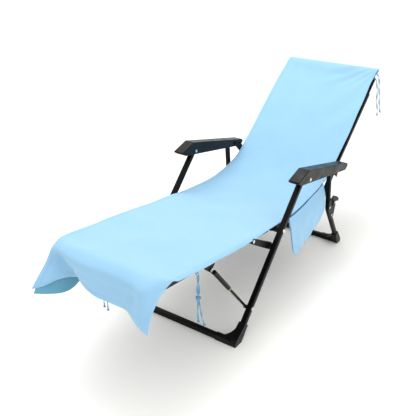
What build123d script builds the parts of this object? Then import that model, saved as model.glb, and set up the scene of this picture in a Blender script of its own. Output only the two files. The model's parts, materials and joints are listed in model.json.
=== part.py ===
from build123d import *
import os
from math import atan2, cos, degrees, pi, radians, sin, tan

# Folding recliner lounger with a fitted towel cover.
# X runs across the width, +Y towards the head end, +Z up. Millimetres.
# The sitter's left-hand side is at +X.
# Points are laid out from the floor under the front floor bar's front edge.
# TO_ORIGIN moves each finished piece, so that the origin is under the bar's middle.

SIDES = {"left": 1, "right": -1}

# Front legs: one leaning rectangular tube on each side, from the floor bar to the armrest
LEG_LEAN = 46.3
LEG_BASE = (34.5, 12.0)
LEG_X = 284.0
LEG_WIDTH = 24.0
LEG_DEPTH = 21.0
TUBE_CORNER = 4.0
TUBE_WALL = 1.5
BAR_HEIGHT = 24.0
BAR_DEPTH = 22.0
TO_ORIGIN = Location((0, -BAR_DEPTH / 2, 0))

# Distances of the pivots along the front leg, from its base
STRUT_ANCHOR_AT = 137.5
HUB_AT = 408.5
SEAT_PIVOT_AT = 484.5
ARM_PIVOT_AT = 731.5
LEG_TOP_AT = 750.0


def along(start, angle, distance):
    """The point (Y, Z) at a distance from start, in a direction given in degrees."""
    return (
        start[0] + distance * cos(radians(angle)),
        start[1] + distance * sin(radians(angle)),
    )


def direction(start, end):
    """The angle in degrees of the line from start to end, both (Y, Z)."""
    return degrees(atan2(end[1] - start[1], end[0] - start[0]))


def distance_between(start, end):
    """The distance between two (Y, Z) points."""
    return Vector(end[0] - start[0], end[1] - start[1]).length


STRUT_ANCHOR = along(LEG_BASE, LEG_LEAN, STRUT_ANCHOR_AT)
HUB = along(LEG_BASE, LEG_LEAN, HUB_AT)
SEAT_PIVOT = along(LEG_BASE, LEG_LEAN, SEAT_PIVOT_AT)
ARM_PIVOT = along(LEG_BASE, LEG_LEAN, ARM_PIVOT_AT)

# Back: its lower length runs parallel to the front leg, its upper length is flatter
BACK_SLOPE = 39.7
ARM_REAR_PIVOT = (975.0, 398.7)
BACK_PIVOT = along(ARM_REAR_PIVOT, LEG_LEAN + 180.0, ARM_PIVOT_AT - SEAT_PIVOT_AT)
BACK_RAIL_LENGTH = 490.0
HEAD_TUBE_LENGTH = 612.0
BACK_SPLICE = along(ARM_REAR_PIVOT, BACK_SLOPE, BACK_RAIL_LENGTH)
HEAD_END = along(ARM_REAR_PIVOT, BACK_SLOPE, HEAD_TUBE_LENGTH)

# Seat rails and leg-rest rails, both inside the legs
RAIL_X = 242.0
RAIL_WIDTH = 22.0
RAIL_GAP = 0.3
SEAT_RAIL_CLEAR = 46.0
SEAT_RAIL_NOSE = 16.0
LEG_RAIL_X = 232.0
LEG_RAIL_WIDTH = 20.0
LEG_RAIL_OUTER = LEG_RAIL_X + LEG_RAIL_WIDTH / 2
LEG_REST_REAR = (336.0, 366.0)
LEG_REST_FRONT = (-388.0, 468.0)
HEAD_TUBE_RADIUS = 8.0

# Rear legs: a bent bar from inside the armrest to the rear floor bar
HANG_PIVOT = (838.0, 484.0)
REAR_KNEE = (864.0, 262.0)
REAR_BASE = (1031.0, 12.0)
REAR_X = 282.4
REAR_WIDTH = 20.0

# Armrest shell, outline in the side view
ARM_INNER_X = 268.7
ARM_OUTER_X = 320.0
ARM_WALL = 3.0
ARM_OUTLINE = [
    (428.0, 560.0),
    (525.0, 588.0),
    (964.0, 475.0),
    (974.0, 461.0),
    (946.0, 444.0),
    (777.0, 477.0),
    (463.0, 539.0),
]

# Pivot hardware
PIN_RADIUS = 4.0
HEAD_RADIUS = 8.0
HEAD_HEIGHT = 2.6
FIT = 0.05
PLATE = 3.0
PLATE_X = 260.0

# Telescoping strut
STRUT_X = 264.0
SLEEVE_RADIUS = 9.0
SLEEVE_BORE = 6.2
ROD_RADIUS = 5.5
STRUT_CLIP = (-117.4, 411.3)
SLEEVE_START = 15.0
SLEEVE_END = 176.0
BUSH_LENGTH = 8.0
ROD_TOP = 150.0

# Fabric
SLING_THICK = 2.5
SLING_HALF = 228.0
LEG_SLING_HALF = 219.0
TOWEL_THICK = 7.0
TOWEL_HALF = 255.5
FLAP_X = 277.0
FLAP_THICK = 4.0
STRING_RADIUS = 2.6

# Latch at the knee of each rear leg
LATCH_PIVOT = (905.0, 283.0)
LEVER_THICK = 3.5


def side_plane(x):
    """A sketch plane with local x along +Y and local y along +Z, at the given X."""
    return Plane.YZ.offset(x)


def cross_plane(point, x=0.0):
    """A plane at a (Y, Z) point whose normal runs along +X."""
    return Plane(origin=(x, point[0], point[1]), x_dir=(0, 1, 0), z_dir=(1, 0, 0))


def span(side, near, far):
    """Start X and width of a piece that lies between two distances from the middle."""
    low = near if side > 0 else -far
    return low, far - near


def drill(points, radius, x_low, width):
    """Cut holes along X, through a piece, at (Y, Z) points; used inside a part block."""
    for point in points:
        with Locations(cross_plane(point, x_low + width / 2)):
            Cylinder(radius, width * 1.2, mode=Mode.SUBTRACT)


def side_tube(start, end, x_centre, width, depth, wall=TUBE_WALL, holes=()):
    """A straight rectangular tube in one side layer, between two (Y, Z) points."""
    run = (0, end[0] - start[0], end[1] - start[1])
    plane = Plane(origin=(x_centre, *start), x_dir=(1, 0, 0), z_dir=run)
    with BuildPart() as tube:
        with BuildSketch(plane):
            RectangleRounded(width, depth, TUBE_CORNER)
            RectangleRounded(width - 2 * wall, depth - 2 * wall, TUBE_CORNER - wall, mode=Mode.SUBTRACT)
        extrude(amount=distance_between(start, end))
        for point, radius in holes:
            drill([point], radius, x_centre - width / 2, width)
    return tube


def side_plate(outline, near, far, side, corner=0.0, holes=()):
    """A flat plate in one side layer, cut to a (Y, Z) outline."""
    low, width = span(side, near, far)
    with BuildPart() as plate:
        with BuildSketch(side_plane(low)):
            with BuildLine():
                Polyline(*outline, close=True)
            make_face()
        extrude(amount=width)
        if corner:
            fillet(plate.edges().filter_by(Axis.X), radius=corner)
        for point, radius in holes:
            drill([point], radius, low, width)
    return plate


def pin_solid(point, side, near, far, radius, heads):
    """A pin along X between two distances from the middle; heads is a list of (near, far, radius)."""
    with BuildPart() as pin:
        low, width = span(side, near, far)
        with BuildSketch(side_plane(low)):
            with Locations(point):
                Circle(radius)
        extrude(amount=width)
        for head_near, head_far, head_radius in heads:
            low, width = span(side, head_near, head_far)
            with BuildSketch(side_plane(low)):
                with Locations(point):
                    Circle(head_radius)
            extrude(amount=width)
    return pin


def save(builder, label):
    """Label a finished piece and write it to its own file."""
    piece = builder.part.moved(TO_ORIGIN)
    piece.label = label
    export_step(piece, f"parts/{label}.step")


def save_group(builders, label):
    """Write several separate solids as one node."""
    group = Compound(children=[builder.part.moved(TO_ORIGIN) for builder in builders])
    group.label = label
    export_step(group, f"parts/{label}.step")


def cross_bar(point, half_length, depth, height, wall=TUBE_WALL):
    """A rectangular tube across the width, centred on a (Y, Z) point."""
    with BuildPart() as bar:
        with BuildSketch(cross_plane(point, -half_length)):
            RectangleRounded(depth, height, TUBE_CORNER)
            RectangleRounded(depth - 2 * wall, height - 2 * wall, TUBE_CORNER - wall, mode=Mode.SUBTRACT)
        extrude(amount=2 * half_length)
    return bar


# ---------------------------------------------------------------- front legs

SHOE_SOCKET = 16.0
SHOE_COLLAR = 72.0
SHOE_SKIN = 3.2
SHOE_INNER_X = 200.0
SHOE_OVERLAP = 4.0
SHOE_LIP = 2.0
WEB_THICK = 18.0
WEB_HOLLOW = 0.45
BAR_HALF = SHOE_INNER_X + SHOE_SOCKET
FRONT_BAR = (BAR_DEPTH / 2, BAR_HEIGHT / 2)


def front_leg(side):
    return side_tube(
        along(LEG_BASE, LEG_LEAN, SHOE_SOCKET),
        along(LEG_BASE, LEG_LEAN, LEG_TOP_AT),
        side * LEG_X,
        LEG_WIDTH,
        LEG_DEPTH,
        holes=[
            (STRUT_ANCHOR, PIN_RADIUS + FIT),
            (HUB, PIN_RADIUS + FIT),
            (SEAT_PIVOT, PIN_RADIUS + FIT),
            (ARM_PIVOT, PIN_RADIUS + FIT),
        ],
    )


def leg_cap(side):
    """Plug that closes the top end of a front leg."""
    start = along(LEG_BASE, LEG_LEAN, LEG_TOP_AT)
    run = (0, cos(radians(LEG_LEAN)), sin(radians(LEG_LEAN)))
    with BuildPart() as cap:
        with BuildSketch(Plane(origin=(side * LEG_X, *start), x_dir=(1, 0, 0), z_dir=run)):
            RectangleRounded(LEG_WIDTH, LEG_DEPTH, TUBE_CORNER)
        extrude(amount=3.5)
        chamfer(cap.faces().sort_by(Axis.Z)[-1].edges(), length=1.2)
    return cap


def corner_shoe(side, base, lean, leg_x, leg_width, leg_depth, bar_point, toe, turn):
    """Moulded corner for a floor bar and a leg; toe is its (Y, Z) outline near the floor.

    turn is 90 where the outline goes on up the leg's left side in the side view, else -90.
    """
    collar_end = along(base, lean, SHOE_COLLAR)
    half = leg_depth / 2 + SHOE_SKIN
    outer = leg_x + leg_width / 2 + SHOE_SKIN
    inner = leg_x - leg_width / 2 - SHOE_SKIN
    reach = inner - SHOE_INNER_X
    web_top = along(base, lean, SHOE_COLLAR - 8.0)
    low_edge = -side * distance_between(web_top, bar_point)
    drop = low_edge + side * BAR_HEIGHT / 2
    leg_run = (0, cos(radians(lean)), sin(radians(lean)))
    web_face = (0, -sin(radians(lean)), cos(radians(lean)))
    with BuildPart() as shoe:
        low, width = span(side, inner, outer)
        with BuildSketch(side_plane(low)):
            with BuildLine():
                Polyline(*toe, along(collar_end, lean + turn, half), along(collar_end, lean - turn, half), close=True)
            make_face()
        extrude(amount=width)
        fillet(shoe.edges().filter_by(Axis.X), radius=2.5)
        low, width = span(side, SHOE_INNER_X, inner + SHOE_OVERLAP)
        with BuildSketch(cross_plane(bar_point, low)):
            RectangleRounded(BAR_DEPTH + 2 * SHOE_LIP, BAR_HEIGHT + 2 * SHOE_LIP, TUBE_CORNER)
        extrude(amount=width)
        web = Plane(origin=(side * inner, *web_top), x_dir=(side, 0, 0), z_dir=web_face)
        with BuildSketch(web.offset(-WEB_THICK / 2)):
            with BuildLine():
                Line((SHOE_OVERLAP, 0), (0, 0))
                Bezier((0, 0), (0, drop * WEB_HOLLOW), (-reach * WEB_HOLLOW, drop), (-reach, drop))
                Line((-reach, drop), (-reach, low_edge))
                Line((-reach, low_edge), (SHOE_OVERLAP, low_edge))
                Line((SHOE_OVERLAP, low_edge), (SHOE_OVERLAP, 0))
            make_face()
        extrude(amount=WEB_THICK)
        start = along(base, lean, SHOE_SOCKET)
        with BuildSketch(Plane(origin=(side * leg_x, *start), x_dir=(1, 0, 0), z_dir=leg_run)):
            RectangleRounded(leg_width, leg_depth, TUBE_CORNER)
        extrude(amount=2 * SHOE_COLLAR, mode=Mode.SUBTRACT)
        low, width = span(side, SHOE_INNER_X - SHOE_SOCKET, SHOE_INNER_X + SHOE_SOCKET)
        with BuildSketch(cross_plane(bar_point, low)):
            Rectangle(BAR_DEPTH, BAR_HEIGHT)
        extrude(amount=width, mode=Mode.SUBTRACT)
        split(bisect_by=Plane.XY, keep=Keep.TOP)
    return shoe


FRONT_TOE = [(47.0, 0.0), (-2.0, 0.0), (-2.0, 16.0), (8.0, 28.0)]


def front_shoe(side):
    return corner_shoe(side, LEG_BASE, LEG_LEAN, LEG_X, LEG_WIDTH, LEG_DEPTH, FRONT_BAR, FRONT_TOE, 90.0)


def seat_pivot_rivet(side):
    """Rivet through the leg, its spacer and the seat rail."""
    inner = RAIL_X - RAIL_WIDTH / 2
    outer = LEG_X + LEG_WIDTH / 2
    return pin_solid(
        SEAT_PIVOT,
        side,
        inner - HEAD_HEIGHT,
        outer + HEAD_HEIGHT,
        PIN_RADIUS,
        [(inner - HEAD_HEIGHT - RAIL_GAP, inner - RAIL_GAP, HEAD_RADIUS), (outer, outer + HEAD_HEIGHT, HEAD_RADIUS)],
    )


def arm_pivot_rivet(side):
    """Rivet through the leg and both walls of the armrest."""
    return pin_solid(
        ARM_PIVOT,
        side,
        ARM_INNER_X - HEAD_HEIGHT,
        ARM_OUTER_X + HEAD_HEIGHT,
        PIN_RADIUS,
        [
            (ARM_INNER_X - HEAD_HEIGHT - RAIL_GAP, ARM_INNER_X - RAIL_GAP, 7.0),
            (ARM_OUTER_X + RAIL_GAP, ARM_OUTER_X + RAIL_GAP + HEAD_HEIGHT, HEAD_RADIUS),
        ],
    )


def hub_rivet(side):
    """Rivet on which a link plate turns; it ends inside the leg."""
    head = PLATE_X - RAIL_GAP
    return pin_solid(
        HUB, side, head - HEAD_HEIGHT, LEG_X, PIN_RADIUS, [(head - HEAD_HEIGHT, head, HEAD_RADIUS)]
    )


def strut_anchor_rivet(side):
    """Rivet whose head shows on the outside of the leg, where the strut ends."""
    outer = LEG_X + LEG_WIDTH / 2
    return pin_solid(
        STRUT_ANCHOR,
        side,
        LEG_X - LEG_WIDTH / 2,
        outer + HEAD_HEIGHT,
        PIN_RADIUS,
        [(outer, outer + HEAD_HEIGHT, HEAD_RADIUS)],
    )


def ring(point, side, near, far, outer_radius, inner_radius):
    """A washer, bush or spacer round an axis along X."""
    low, width = span(side, near, far)
    with BuildPart() as washer:
        with BuildSketch(side_plane(low)):
            with Locations(point):
                Circle(outer_radius)
                Circle(inner_radius, mode=Mode.SUBTRACT)
        extrude(amount=width)
    return washer


def leg_spacers():
    """Discs between the leg and the seat rail, and between the leg and the link plate."""
    leg_inner = LEG_X - LEG_WIDTH / 2
    leg_outer = LEG_X + LEG_WIDTH / 2
    arm_wall_inner = ARM_OUTER_X - ARM_WALL - RAIL_GAP
    rail_outer = RAIL_X + RAIL_WIDTH / 2
    discs = []
    for side in SIDES.values():
        discs.append(ring(SEAT_PIVOT, side, rail_outer + RAIL_GAP, leg_inner, 12.5, PIN_RADIUS + FIT))
        discs.append(ring(HUB, side, PLATE_X + PLATE + 1 + RAIL_GAP, leg_inner, 11.0, PIN_RADIUS + FIT))
        discs.append(ring(ARM_PIVOT, side, leg_outer, arm_wall_inner, 8.0, PIN_RADIUS + FIT))
    return discs


# ---------------------------------------------------------------- seat

SEAT_SLOPE = direction(SEAT_PIVOT, BACK_PIVOT)
SEAT_RAIL_START = along(SEAT_PIVOT, SEAT_SLOPE, -SEAT_RAIL_NOSE)
SEAT_RAIL_END = along(BACK_PIVOT, SEAT_SLOPE, -SEAT_RAIL_CLEAR)
SEAT_TUBE_AT = along(SEAT_PIVOT, SEAT_SLOPE, 190.0)
SEAT_TUBE_RADIUS = 9.0
HINGE_PLATE_HALF = 11.0
HINGE_OVERLAP = 70.0


def seat_rail(side):
    return side_tube(
        SEAT_RAIL_START,
        SEAT_RAIL_END,
        side * RAIL_X,
        RAIL_WIDTH,
        RAIL_WIDTH,
        holes=[(SEAT_PIVOT, PIN_RADIUS + FIT)],
    )


def seat_cross_tube():
    """Round tube that ties the two seat rails together."""
    with BuildPart() as tube:
        half = RAIL_X - RAIL_WIDTH / 2
        with BuildSketch(cross_plane(SEAT_TUBE_AT, -half)):
            Circle(SEAT_TUBE_RADIUS)
            Circle(SEAT_TUBE_RADIUS - TUBE_WALL, mode=Mode.SUBTRACT)
        extrude(amount=2 * half)
    return tube


def hinge_plate(side, near, far):
    """Steel cheek beside a seat rail that carries the back pivot."""
    middle = along(BACK_PIVOT, SEAT_SLOPE, -HINGE_OVERLAP / 2)
    low, width = span(side, near, far)
    with BuildPart() as plate:
        with BuildSketch(side_plane(low)):
            with Locations(Location((middle[0], middle[1], 0), (0, 0, SEAT_SLOPE))):
                SlotCenterToCenter(HINGE_OVERLAP, 2 * HINGE_PLATE_HALF)
        extrude(amount=width)
        drill([BACK_PIVOT], PIN_RADIUS + FIT, low, width)
    return plate


def hinge_plates():
    rail_inner = RAIL_X - RAIL_WIDTH / 2
    rail_outer = RAIL_X + RAIL_WIDTH / 2
    plates = []
    for side in SIDES.values():
        plates.append(hinge_plate(side, rail_outer, rail_outer + PLATE))
        plates.append(hinge_plate(side, rail_inner - PLATE, rail_inner))
    return plates


def back_pin(side):
    """Hinge pin with a head outside each cheek."""
    inner = RAIL_X - RAIL_WIDTH / 2 - PLATE
    outer = RAIL_X + RAIL_WIDTH / 2 + PLATE
    return pin_solid(
        BACK_PIVOT,
        side,
        inner,
        outer,
        PIN_RADIUS,
        [(inner - HEAD_HEIGHT, inner, HEAD_RADIUS), (outer, outer + HEAD_HEIGHT, HEAD_RADIUS)],
    )


# ---------------------------------------------------------------- back

BACK_TUBE_WIDTH = RAIL_WIDTH - 2 * RAIL_GAP
HEAD_CORNER = 38.0
SPLICE_INSERT = 60.0


def back_rail(side):
    """Bent rectangular tube from the back pivot to the splice."""
    start = along(BACK_PIVOT, LEG_LEAN, -11.0)
    run = (0, cos(radians(LEG_LEAN)), sin(radians(LEG_LEAN)))
    x = side * RAIL_X
    with BuildPart() as rail:
        with BuildLine() as path:
            FilletPolyline((x, *start), (x, *ARM_REAR_PIVOT), (x, *BACK_SPLICE), radius=160.0)
        with BuildSketch(Plane(origin=(x, *start), x_dir=(1, 0, 0), z_dir=run)):
            RectangleRounded(BACK_TUBE_WIDTH, BACK_TUBE_WIDTH, TUBE_CORNER)
            RectangleRounded(
                BACK_TUBE_WIDTH - 2 * TUBE_WALL,
                BACK_TUBE_WIDTH - 2 * TUBE_WALL,
                TUBE_CORNER - TUBE_WALL,
                mode=Mode.SUBTRACT,
            )
        sweep(path=path.line)
        drill([BACK_PIVOT, ARM_REAR_PIVOT], PIN_RADIUS + FIT, x - RAIL_WIDTH / 2, RAIL_WIDTH)
    return rail


def head_tube():
    """Thinner U-shaped tube that slides out of the two back rails and forms the head end."""
    foot = along(BACK_SPLICE, BACK_SLOPE, -SPLICE_INSERT)
    run = (0, cos(radians(BACK_SLOPE)), sin(radians(BACK_SLOPE)))
    with BuildPart() as tube:
        with BuildLine() as path:
            FilletPolyline(
                (-RAIL_X, *foot),
                (-RAIL_X, *HEAD_END),
                (RAIL_X, *HEAD_END),
                (RAIL_X, *foot),
                radius=HEAD_CORNER,
            )
        with BuildSketch(Plane(origin=(-RAIL_X, *foot), x_dir=(1, 0, 0), z_dir=run)):
            Circle(HEAD_TUBE_RADIUS)
            Circle(HEAD_TUBE_RADIUS - TUBE_WALL, mode=Mode.SUBTRACT)
        sweep(path=path.line)
    return tube


def arm_rear_stub(side):
    """Stub pin on the back rail that sits in the armrest bracket's hole."""
    inner = RAIL_X - BACK_TUBE_WIDTH / 2
    return pin_solid(
        ARM_REAR_PIVOT,
        side,
        inner - HEAD_HEIGHT,
        ARM_INNER_X + 1.0,
        PIN_RADIUS,
        [
            (inner - HEAD_HEIGHT, inner, 7.0),
            (RAIL_X + BACK_TUBE_WIDTH / 2, ARM_INNER_X - PLATE - 1.0, 7.0),
            (ARM_INNER_X + 1.0, ARM_INNER_X + 1.0 + HEAD_HEIGHT, 7.0),
        ],
    )


# ---------------------------------------------------------------- leg rest

LEG_REST_SLOPE = direction(LEG_REST_REAR, LEG_REST_FRONT)
END_BAR_RADIUS = 40.0
LINK_RIVET = (173.6, 393.0)
LINK_HALF_FRONT = 12.0
LINK_HALF_REAR = 16.0


def leg_rest_rail(side):
    """Rectangular side tube of the leg rest, up to its front corner."""
    stop = along(LEG_REST_FRONT, LEG_REST_SLOPE + 180.0, END_BAR_RADIUS)
    return side_tube(LEG_REST_REAR, stop, side * LEG_RAIL_X, LEG_RAIL_WIDTH, LEG_RAIL_WIDTH)


def leg_rest_end_bar():
    """Bent tube that joins the two side tubes at the foot end."""
    start = along(LEG_REST_FRONT, LEG_REST_SLOPE + 180.0, END_BAR_RADIUS)
    run = (0, cos(radians(LEG_REST_SLOPE)), sin(radians(LEG_REST_SLOPE)))
    with BuildPart() as bar:
        with BuildLine() as path:
            FilletPolyline(
                (-LEG_RAIL_X, *start),
                (-LEG_RAIL_X, *LEG_REST_FRONT),
                (LEG_RAIL_X, *LEG_REST_FRONT),
                (LEG_RAIL_X, *start),
                radius=END_BAR_RADIUS - 1.0,
            )
        with BuildSketch(Plane(origin=(-LEG_RAIL_X, *start), x_dir=(1, 0, 0), z_dir=run)):
            RectangleRounded(LEG_RAIL_WIDTH, LEG_RAIL_WIDTH, TUBE_CORNER)
            RectangleRounded(
                LEG_RAIL_WIDTH - 2 * TUBE_WALL,
                LEG_RAIL_WIDTH - 2 * TUBE_WALL,
                TUBE_CORNER - TUBE_WALL,
                mode=Mode.SUBTRACT,
            )
        sweep(path=path.line)
    return bar


def link_plate(side):
    """Tapered steel arm from the leg-rest rail to its hub on the front leg."""
    low, width = span(side, PLATE_X, PLATE_X + PLATE + 1)
    with BuildPart() as plate:
        with BuildSketch(side_plane(low)):
            with Locations(LINK_RIVET):
                Circle(LINK_HALF_FRONT)
            with Locations(HUB):
                Circle(LINK_HALF_REAR)
            make_hull()
        extrude(amount=width)
        drill([HUB, LINK_RIVET], PIN_RADIUS + FIT, low, width)
    return plate


def link_bracket(side):
    """Block clamped on the rail that the link plate is riveted to, with a pointed nose."""
    outline = [
        (146.0, 402.0),
        (158.0, 403.0),
        (204.0, 396.0),
        (200.0, 384.0),
        (178.0, 379.0),
        (160.0, 388.0),
    ]
    return side_plate(outline, LEG_RAIL_OUTER, PLATE_X, side, holes=[(LINK_RIVET, PIN_RADIUS + FIT)])


def link_rivet(side):
    outer = PLATE_X + PLATE + 1
    return pin_solid(
        LINK_RIVET,
        side,
        LEG_RAIL_OUTER,
        outer + HEAD_HEIGHT,
        PIN_RADIUS,
        [(outer, outer + HEAD_HEIGHT, 7.0)],
    )


STRUT_ANGLE = direction(STRUT_CLIP, STRUT_ANCHOR)
STRUT_LENGTH = distance_between(STRUT_CLIP, STRUT_ANCHOR)
CLIP_OUTER = RAIL_X + RAIL_WIDTH / 2 + PLATE + 1
TONGUE_X = CLIP_OUTER + RAIL_GAP


def strut_clip(side):
    """Bracket on the rail's outer side that carries the upper end of the strut."""
    outline = [
        (-152.0, 433.0),
        (-150.0, 443.0),
        (-92.0, 435.0),
        (-92.0, 424.0),
        (-106.0, 411.0),
        (-117.4, 400.0),
        (-129.0, 411.0),
    ]
    return side_plate(outline, LEG_RAIL_OUTER, CLIP_OUTER, side, holes=[(STRUT_CLIP, PIN_RADIUS + FIT)])


def clip_rivet(side):
    outer = TONGUE_X + PLATE + RAIL_GAP
    return pin_solid(
        STRUT_CLIP,
        side,
        LEG_RAIL_OUTER,
        outer + HEAD_HEIGHT,
        PIN_RADIUS,
        [(outer, outer + HEAD_HEIGHT, 7.0)],
    )


# ---------------------------------------------------------------- struts


def strut_plane(side, distance):
    """Plane across the strut, at a distance from its upper pivot."""
    origin = along(STRUT_CLIP, STRUT_ANGLE, distance)
    run = (0, cos(radians(STRUT_ANGLE)), sin(radians(STRUT_ANGLE)))
    return Plane(origin=(side * STRUT_X, *origin), x_dir=(1, 0, 0), z_dir=run)


def strut_sleeve(side):
    """Outer tube of the strut, with a flat tongue at its pivot."""
    low, width = span(side, TONGUE_X, TONGUE_X + PLATE)
    tongue_end = along(STRUT_CLIP, STRUT_ANGLE, SLEEVE_START + 8.0)
    with BuildPart() as sleeve:
        with BuildSketch(side_plane(low)):
            with Locations(STRUT_CLIP):
                Circle(8.0)
            with Locations(tongue_end):
                Circle(8.0)
            make_hull()
        extrude(amount=width)
        with BuildSketch(strut_plane(side, SLEEVE_START)):
            Circle(SLEEVE_RADIUS)
        extrude(amount=SLEEVE_END - SLEEVE_START)
        with BuildSketch(strut_plane(side, SLEEVE_START + 14.0)):
            Circle(SLEEVE_BORE)
        extrude(amount=SLEEVE_END, mode=Mode.SUBTRACT)
        drill([STRUT_CLIP], PIN_RADIUS + FIT, low, width)
    return sleeve


def strut_bush(side):
    """Brass ring at the sleeve's open end."""
    with BuildPart() as bush:
        with BuildSketch(strut_plane(side, SLEEVE_END)):
            Circle(SLEEVE_RADIUS - 0.8)
            Circle(ROD_RADIUS + FIT, mode=Mode.SUBTRACT)
        extrude(amount=BUSH_LENGTH)
    return bush


def strut_rod(side):
    """Inner rod of the strut, ending in a boss against the front leg."""
    low, width = span(side, STRUT_X - 6.5, LEG_X - LEG_WIDTH / 2 - 0.4)
    with BuildPart() as rod:
        with BuildSketch(strut_plane(side, ROD_TOP)):
            Circle(ROD_RADIUS)
        extrude(amount=STRUT_LENGTH - ROD_TOP)
        with BuildSketch(side_plane(low)):
            with Locations(STRUT_ANCHOR):
                Circle(7.5)
        extrude(amount=width)
    return rod


# ---------------------------------------------------------------- armrests

MOUTH_DROP = 60.0
ARM_SKIN = 1.0


def armrest(side):
    """Hollow moulded armrest, open underneath, with holes for the pivot rivets."""
    low, width = span(side, ARM_INNER_X, ARM_OUTER_X)
    rear_lip = (ARM_OUTLINE[4][0] - 8.0, ARM_OUTLINE[4][1] + 8.0)
    front_lip = (ARM_OUTLINE[6][0] + 10.0, ARM_OUTLINE[6][1] + 6.0)
    with BuildPart() as shell:
        with BuildSketch(side_plane(low)):
            with BuildLine():
                Polyline(*ARM_OUTLINE, close=True)
            make_face()
        extrude(amount=width)
        fillet(shell.edges().filter_by(Axis.X), radius=5.0)
        fillet(shell.faces().filter_by(Axis.X).edges(), radius=3.5)
        with BuildSketch(side_plane(low + ARM_WALL)):
            with BuildLine():
                Polyline(*ARM_OUTLINE, close=True)
            make_face()
            offset(amount=-ARM_WALL)
            with BuildLine():
                Polyline(
                    front_lip,
                    rear_lip,
                    (rear_lip[0], rear_lip[1] - MOUTH_DROP),
                    (front_lip[0], front_lip[1] - MOUTH_DROP),
                    close=True,
                )
            make_face()
        extrude(amount=width - 2 * ARM_WALL, mode=Mode.SUBTRACT)
        drill([ARM_PIVOT], PIN_RADIUS + FIT, low, width)
        with Locations(cross_plane(HANG_PIVOT, low + width / 2)):
            Cylinder(PIN_RADIUS + FIT, width - 2 * ARM_SKIN, mode=Mode.SUBTRACT)
    return shell


def arm_rear_bracket(side):
    """Steel plate on the armrest's inner wall that reaches down to the back rail."""
    near = ARM_INNER_X - PLATE
    low, width = span(side, near, ARM_INNER_X)
    with BuildPart() as plate:
        with BuildSketch(side_plane(low)):
            with Locations(ARM_REAR_PIVOT):
                Circle(12.0)
            with Locations((938.0, 461.0), (890.0, 474.0)):
                Circle(9.0)
            make_hull()
        extrude(amount=width)
        drill([ARM_REAR_PIVOT], PIN_RADIUS + 0.6, low, width)
        head_low, head_width = span(side, near - 1.8, near)
        with BuildSketch(side_plane(head_low)):
            with Locations((938.0, 461.0), (890.0, 474.0)):
                Circle(5.0)
        extrude(amount=head_width)
    return plate


# ---------------------------------------------------------------- rear legs

REAR_LEAN = direction(REAR_BASE, REAR_KNEE)
REAR_HANGER_LEAN = direction(REAR_KNEE, HANG_PIVOT)
REAR_TOP = along(HANG_PIVOT, REAR_HANGER_LEAN, 11.0)
REAR_BEND = 60.0
REAR_TOE = [(1015.0, 0.0), (1051.0, 0.0), (1051.0, 15.0)]
LATCH_RIVETS = [(859.0, 272.0), (893.0, 218.0)]
LATCH_OUTLINE = [
    (845.0, 312.0),
    (882.0, 320.0),
    (922.0, 302.0),
    (932.0, 272.0),
    (914.0, 205.0),
    (888.0, 196.0),
    (862.0, 230.0),
    (846.0, 262.0),
]
LEVER_OUTLINE = [
    (892.0, 270.0),
    (890.0, 300.0),
    (872.0, 318.0),
    (880.0, 330.0),
    (925.0, 309.0),
    (952.0, 290.0),
    (954.0, 278.0),
    (940.0, 277.0),
    (922.0, 286.0),
    (914.0, 270.0),
]


def rear_leg(side):
    """Bent rectangular tube from inside the armrest down to the rear shoe."""
    x = side * REAR_X
    start = along(REAR_BASE, REAR_LEAN, SHOE_SOCKET)
    run = (0, cos(radians(REAR_LEAN)), sin(radians(REAR_LEAN)))
    inner_width = REAR_WIDTH - 2 * TUBE_WALL
    with BuildPart() as leg:
        with BuildLine() as path:
            FilletPolyline((x, *start), (x, *REAR_KNEE), (x, *REAR_TOP), radius=REAR_BEND)
        with BuildSketch(Plane(origin=(x, *start), x_dir=(1, 0, 0), z_dir=run)):
            RectangleRounded(REAR_WIDTH, REAR_WIDTH, TUBE_CORNER)
            RectangleRounded(inner_width, inner_width, TUBE_CORNER - TUBE_WALL, mode=Mode.SUBTRACT)
        sweep(path=path.line)
        drill([HANG_PIVOT], PIN_RADIUS + FIT, x - REAR_WIDTH / 2, REAR_WIDTH)
    return leg


def rear_shoe(side):
    return corner_shoe(side, REAR_BASE, REAR_LEAN, REAR_X, REAR_WIDTH, REAR_WIDTH, REAR_BASE, REAR_TOE, -90.0)


def latch_bracket(side):
    """Steel plate on the outside of the rear leg's knee that carries the latch lever."""
    near = REAR_X + REAR_WIDTH / 2
    return side_plate(LATCH_OUTLINE, near, near + PLATE, side, 4.0, [(LATCH_PIVOT, PIN_RADIUS + FIT)])


def latch_lever(side):
    """Hooked release lever with a finger tab."""
    near = REAR_X + REAR_WIDTH / 2 + PLATE + RAIL_GAP
    return side_plate(LEVER_OUTLINE, near, near + LEVER_THICK, side, 2.5, [(LATCH_PIVOT, PIN_RADIUS + FIT)])


def hang_rivet(side):
    """Pin that hangs the rear leg between blind holes in the armrest's two walls."""
    play = ARM_SKIN + RAIL_GAP
    return pin_solid(HANG_PIVOT, side, ARM_INNER_X + play, ARM_OUTER_X - play, PIN_RADIUS, [])


def lever_rivet(side):
    """Rivet on which the latch lever turns."""
    near = REAR_X + REAR_WIDTH / 2
    head = near + PLATE + LEVER_THICK + 2 * RAIL_GAP
    return pin_solid(
        LATCH_PIVOT,
        side,
        near - HEAD_HEIGHT,
        head + HEAD_HEIGHT,
        PIN_RADIUS,
        [(near - HEAD_HEIGHT, near, 6.0), (head, head + HEAD_HEIGHT, 7.0)],
    )


def bracket_rivets(side):
    """Rivet heads that fix the latch bracket to the rear leg."""
    near = REAR_X + REAR_WIDTH / 2 + PLATE
    return [pin_solid(point, side, near, near + HEAD_HEIGHT - 1, 6.0, []) for point in LATCH_RIVETS]


# ---------------------------------------------------------------- sling and towel

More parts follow.
